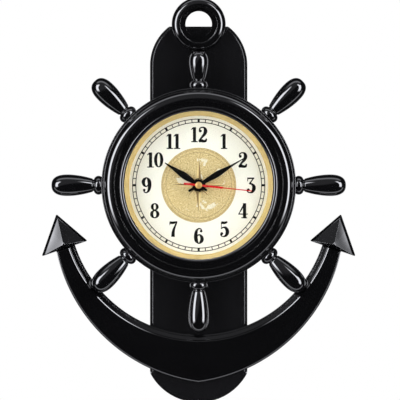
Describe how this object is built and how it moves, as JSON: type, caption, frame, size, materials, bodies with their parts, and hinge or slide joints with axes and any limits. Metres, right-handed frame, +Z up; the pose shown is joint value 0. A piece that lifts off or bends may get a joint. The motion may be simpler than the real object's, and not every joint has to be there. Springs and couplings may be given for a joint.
{
  "type": "wall clock",
  "caption": "Quartz wall clock with a round dial in a ship's wheel casing, set on an anchor with a ring, curved arms and arrow-head flukes, on a round-ended hollow backboard.",
  "frame": {"origin": "centre of the keyhole's round hole in the hanger plate, in the wall plane", "axes": "+Z up, towards the top ring; +Y towards the wall, so that the dial faces -Y; +X to the right as seen from the front"},
  "size_m": [0.315, 0.0482, 0.4079],
  "materials": {
    "black_gloss": "polished black moulded plastic",
    "black_board": "glossy black moulded plastic",
    "black_satin": "fine-textured black plastic",
    "gold_metallised": "gold anodised spun ring",
    "gold_foil": "grained gold foil",
    "dial_paper": "cream printed card",
    "clear_glass": "clear flat glass",
    "hand_black": "black lacquered stamping",
    "hand_red": "red lacquered stamping",
    "brass": "turned brass",
    "steel": "zinc-plated steel",
    "spring_steel": "bright nickel-plated spring steel",
    "soft_iron": "grey soft-iron lamination",
    "magnet": "dark sintered magnet with a plastic pinion",
    "copper_wire": "enamelled copper wire",
    "gear_plastic": "natural acetal",
    "knob_plastic": "white moulded plastic",
    "circuit": "green circuit board with a black resin drop",
    "rubber": "black rubber",
    "battery_wrap": "plain blue metal sleeve"
  },
  "bodies": {
    "casing": {"anchor_arms": "black_gloss", "arm_screws": "steel", "backboard": "black_board", "board_screws": "steel", "bobbin": "gear_plastic", "case_back": "black_satin", "case_screws": "steel", "circuit_board": "circuit", "coil": "copper_wire", "coil_core": "soft_iron", "dial": "dial_paper", "dial_plate": "black_satin", "fluke_screws": "steel", "front_case": "black_satin", "glass": "clear_glass", "gold_ring": "gold_metallised", "handle_1": "black_gloss", "handle_2": "black_gloss", "handle_3": "black_gloss", "handle_4": "black_gloss", "handle_5": "black_gloss", "handle_6": "black_gloss", "handle_7": "black_gloss", "handle_8": "black_gloss", "handle_screws": "steel", "hanger_plate": "steel", "hanger_screws": "steel", "hex_nut": "brass", "left_fluke": "black_gloss", "medallion": "gold_foil", "metal_washer": "steel", "negative_contact": "spring_steel", "plate_screws": "steel", "positive_contact": "spring_steel", "quartz_crystal": "spring_steel", "rear_cover": "black_satin", "right_fluke": "black_gloss", "ring_screws": "steel", "rubber_washer": "rubber", "stator": "soft_iron", "top_ring": "black_gloss", "train_bridge": "gear_plastic", "wheel_rim": "black_gloss"},
    "minute": {"cannon_pinion": "brass", "minute_hand": "hand_black"},
    "hour": {"hour_wheel": "gear_plastic", "hour_hand": "hand_black"},
    "minute_gear": {"minute_wheel": "gear_plastic"},
    "setting": {"setting_knob": "knob_plastic"},
    "seconds": {"second_wheel": "gear_plastic", "second_hand": "hand_red", "hand_cap": "brass"},
    "third": {"third_wheel": "gear_plastic"},
    "centre": {"centre_wheel": "gear_plastic"},
    "intermediate": {"intermediate_wheel": "gear_plastic"},
    "rotor": {"rotor": "magnet"},
    "battery": {"battery": "battery_wrap"}
  },
  "joints": [
    {"name": "minute_hand_turn", "type": "hinge", "parent": "casing", "child": "minute", "pos_m": [0, -0.03, -0.12], "axis": [0, 1, 0], "continuous": true},
    {"name": "hour_hand_turn", "type": "hinge", "parent": "casing", "child": "hour", "pos_m": [0, -0.03, -0.12], "axis": [0, 1, 0], "continuous": true},
    {"name": "minute_wheel_turn", "type": "hinge", "parent": "casing", "child": "minute_gear", "pos_m": [-0.00789, -0.022, -0.12287], "axis": [0, 1, 0], "continuous": true},
    {"name": "setting_knob_turn", "type": "hinge", "parent": "casing", "child": "setting", "pos_m": [-0.01677, -0.02, -0.12611], "axis": [0, 1, 0], "continuous": true},
    {"name": "second_hand_turn", "type": "hinge", "parent": "casing", "child": "seconds", "pos_m": [0, -0.03, -0.12], "axis": [0, 1, 0], "continuous": true},
    {"name": "third_wheel_turn", "type": "hinge", "parent": "casing", "child": "third", "pos_m": [-0.00883, -0.017, -0.1149], "axis": [0, 1, 0], "continuous": true},
    {"name": "centre_wheel_turn", "type": "hinge", "parent": "casing", "child": "centre", "pos_m": [0, -0.019, -0.12], "axis": [0, 1, 0], "continuous": true},
    {"name": "intermediate_wheel_turn", "type": "hinge", "parent": "casing", "child": "intermediate", "pos_m": [0.00947, -0.013, -0.11655], "axis": [0, 1, 0], "continuous": true},
    {"name": "rotor_turn", "type": "hinge", "parent": "casing", "child": "rotor", "pos_m": [0.01339, -0.016, -0.10976], "axis": [0, 1, 0], "continuous": true},
    {"name": "battery_slide", "type": "slide", "parent": "casing", "child": "battery", "axis": [0, 1, 0], "range_m": [0, 0.03]}
  ],
  "couplings": [
    {"joint": "hour_hand_turn", "follows": "minute_hand_turn", "ratio": 0.083333},
    {"joint": "minute_wheel_turn", "follows": "minute_hand_turn", "ratio": -0.33333},
    {"joint": "setting_knob_turn", "follows": "minute_hand_turn", "ratio": 0.66667},
    {"joint": "third_wheel_turn", "follows": "second_hand_turn", "ratio": -0.125},
    {"joint": "centre_wheel_turn", "follows": "second_hand_turn", "ratio": 0.016667},
    {"joint": "intermediate_wheel_turn", "follows": "second_hand_turn", "ratio": -5},
    {"joint": "rotor_turn", "follows": "second_hand_turn", "ratio": 30}
  ]
}
